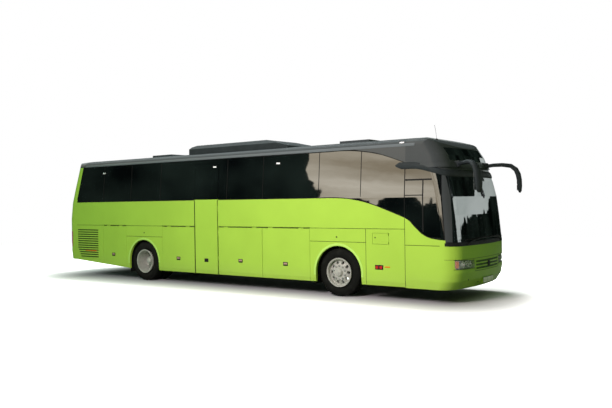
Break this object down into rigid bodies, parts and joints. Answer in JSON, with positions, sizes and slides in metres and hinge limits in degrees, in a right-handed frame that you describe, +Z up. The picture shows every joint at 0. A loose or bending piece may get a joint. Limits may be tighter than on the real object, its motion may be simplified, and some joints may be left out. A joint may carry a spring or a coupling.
{
  "type": "coach bus",
  "caption": "Two-axle high-floor touring coach, right-hand drive, with luggage flaps, plug entrance door, emergency side door, roof cooling unit and hanging mirrors.",
  "frame": {"origin": "centre of the footprint, on the ground, midway between the tail and the mirror tips", "axes": "+X forwards, +Y to the coach's left, +Z up"},
  "size_m": [12.485, 2.56, 3.4799],
  "materials": {
    "body_paint": "gloss lime green paint",
    "dark_cap": "gloss charcoal",
    "tinted_glass": "dark tinted",
    "clear_glass": "clear",
    "lamp_lens": "clear lens",
    "red_lens": "red lens",
    "black_plastic": "matt black",
    "roof_paint": "grey paint",
    "frame_black": "satin black",
    "cast_black": "black painted casting",
    "rim_silver": "silver paint",
    "tyre_black": "matt",
    "floor_grey": "grey floor covering",
    "seat_cloth": "dark blue cloth",
    "engine_grey": "grey"
  },
  "bodies": {
    "coach": {"front_mask": "body_paint", "front_cap": "dark_cap", "windscreen": "clear_glass", "headlamps": "lamp_lens", "rear_wall": "body_paint", "rear_window": "tinted_glass", "tail_lamps": "red_lens", "roof": "roof_paint", "air_conditioner": "black_plastic", "side_wall_right": "body_paint", "side_wall_left": "body_paint", "air_grilles": "body_paint", "side_glass": "tinted_glass", "front_axle": "cast_black", "rear_axle": "cast_black", "wheel_housings": "black_plastic", "chassis_frame": "frame_black", "luggage_hold": "floor_grey", "saloon_floor": "floor_grey", "cab_floor": "floor_grey", "seats": "seat_cloth", "luggage_racks": "floor_grey", "dashboard": "black_plastic", "steering_wheel": "black_plastic", "mirrors": "dark_cap", "engine": "engine_grey"},
    "knuckle_right": {"knuckle_right": "cast_black"},
    "knuckle_left": {"knuckle_left": "cast_black"},
    "track_rod": {"track_rod": "frame_black"},
    "front_wheel_right": {"front_tyre_right": "tyre_black", "front_rim_right": "rim_silver"},
    "front_wheel_left": {"front_tyre_left": "tyre_black", "front_rim_left": "rim_silver"},
    "rear_wheels_right": {"rear_tyres_right": "tyre_black", "rear_rims_right": "rim_silver"},
    "rear_wheels_left": {"rear_tyres_left": "tyre_black", "rear_rims_left": "rim_silver"},
    "front_door_arm": {"front_door_arm": "frame_black"},
    "front_door": {"front_door": "body_paint", "front_door_glass": "tinted_glass"},
    "mid_door": {"mid_door": "body_paint", "mid_door_glass": "tinted_glass"},
    "fuel_flap": {"fuel_flap": "body_paint"},
    "engine_lid": {"engine_lid": "body_paint"},
    "roof_hatch_rear": {"roof_hatch_rear": "dark_cap"},
    "roof_hatch_front": {"roof_hatch_front": "dark_cap"},
    "service_flap_right": {"service_flap_right": "body_paint"},
    "hold_flap_right_1": {"hold_flap_right_1": "body_paint"},
    "hold_flap_right_2": {"hold_flap_right_2": "body_paint"},
    "hold_flap_right_3": {"hold_flap_right_3": "body_paint"},
    "service_flap_left": {"service_flap_left": "body_paint"},
    "hold_flap_left_1": {"hold_flap_left_1": "body_paint"},
    "hold_flap_left_2": {"hold_flap_left_2": "body_paint"},
    "hold_flap_left_3": {"hold_flap_left_3": "body_paint"}
  },
  "joints": [
    {"name": "steer_right", "type": "hinge", "parent": "coach", "child": "knuckle_right", "pos_m": [3.1325, -0.86, 0.505], "axis": [0, 0, 1], "range_deg": [-40, 40]},
    {"name": "steer_left", "type": "hinge", "parent": "coach", "child": "knuckle_left", "pos_m": [3.1325, 0.86, 0.505], "axis": [0, 0, 1], "range_deg": [-40, 40]},
    {"name": "track_rod_turn", "type": "hinge", "parent": "knuckle_right", "child": "track_rod", "pos_m": [2.9125, -0.86, 0.445], "axis": [0, 0, 1], "range_deg": [-40, 40]},
    {"name": "front_wheel_right_spin", "type": "hinge", "parent": "knuckle_right", "child": "front_wheel_right", "pos_m": [3.1325, -1.085, 0.505], "axis": [0, 1, 0], "continuous": true},
    {"name": "front_wheel_left_spin", "type": "hinge", "parent": "knuckle_left", "child": "front_wheel_left", "pos_m": [3.1325, 1.085, 0.505], "axis": [0, 1, 0], "continuous": true},
    {"name": "rear_wheels_right_spin", "type": "hinge", "parent": "coach", "child": "rear_wheels_right", "pos_m": [-2.9475, -0.9175, 0.505], "axis": [0, 1, 0], "continuous": true},
    {"name": "rear_wheels_left_spin", "type": "hinge", "parent": "coach", "child": "rear_wheels_left", "pos_m": [-2.9475, 0.9175, 0.505], "axis": [0, 1, 0], "continuous": true},
    {"name": "front_door_arm_swing", "type": "hinge", "parent": "coach", "child": "front_door_arm", "pos_m": [5.3925, 1.04, 1.5], "axis": [0, 0, -1], "range_deg": [0, 88]},
    {"name": "front_door_turn", "type": "hinge", "parent": "front_door_arm", "child": "front_door", "pos_m": [4.8325, 1.04, 1.5], "axis": [0, 0, -1], "range_deg": [-88, 0]},
    {"name": "mid_door_swing", "type": "hinge", "parent": "coach", "child": "mid_door", "pos_m": [-0.2825, -1.27, 1.5], "axis": [0, 0, 1], "range_deg": [0, 88]},
    {"name": "fuel_flap_swing", "type": "hinge", "parent": "coach", "child": "fuel_flap", "pos_m": [4.3445, -1.27, 1.23], "axis": [0, 0, 1], "range_deg": [0, 100]},
    {"name": "service_flap_right_lift", "type": "hinge", "parent": "coach", "child": "service_flap_right", "pos_m": [-4.1285, -1.27, 1.422], "axis": [-1, 0, 0], "range_deg": [0, 80]},
    {"name": "hold_flap_right_1_lift", "type": "hinge", "parent": "coach", "child": "hold_flap_right_1", "pos_m": [-1.6485, -1.27, 1.422], "axis": [-1, 0, 0], "range_deg": [0, 80]},
    {"name": "hold_flap_right_2_lift", "type": "hinge", "parent": "coach", "child": "hold_flap_right_2", "pos_m": [0.404, -1.27, 1.422], "axis": [-1, 0, 0], "range_deg": [0, 80]},
    {"name": "hold_flap_right_3_lift", "type": "hinge", "parent": "coach", "child": "hold_flap_right_3", "pos_m": [1.7485, -1.27, 1.422], "axis": [-1, 0, 0], "range_deg": [0, 80]},
    {"name": "service_flap_left_lift", "type": "hinge", "parent": "coach", "child": "service_flap_left", "pos_m": [-4.1285, 1.27, 1.422], "axis": [1, 0, 0], "range_deg": [0, 80]},
    {"name": "hold_flap_left_1_lift", "type": "hinge", "parent": "coach", "child": "hold_flap_left_1", "pos_m": [-1.4505, 1.27, 1.422], "axis": [1, 0, 0], "range_deg": [0, 80]},
    {"name": "hold_flap_left_2_lift", "type": "hinge", "parent": "coach", "child": "hold_flap_left_2", "pos_m": [0.0955, 1.27, 1.422], "axis": [1, 0, 0], "range_deg": [0, 80]},
    {"name": "hold_flap_left_3_lift", "type": "hinge", "parent": "coach", "child": "hold_flap_left_3", "pos_m": [1.6415, 1.27, 1.422], "axis": [1, 0, 0], "range_deg": [0, 80]},
    {"name": "engine_lid_lift", "type": "hinge", "parent": "coach", "child": "engine_lid", "pos_m": [-6.2375, 0, 1.552], "axis": [0, 1, 0], "range_deg": [0, 75]},
    {"name": "roof_hatch_rear_lift", "type": "hinge", "parent": "coach", "child": "roof_hatch_rear", "pos_m": [-3.5675, 0, 3.295], "axis": [0, -1, 0], "range_deg": [0, 30]},
    {"name": "roof_hatch_front_lift", "type": "hinge", "parent": "coach", "child": "roof_hatch_front", "pos_m": [2.6325, 0, 3.295], "axis": [0, -1, 0], "range_deg": [0, 30]}
  ],
  "couplings": [
    {"joint": "steer_left", "follows": "steer_right", "ratio": 1},
    {"joint": "track_rod_turn", "follows": "steer_right", "ratio": -1},
    {"joint": "front_door_turn", "follows": "front_door_arm_swing", "ratio": -1}
  ]
}
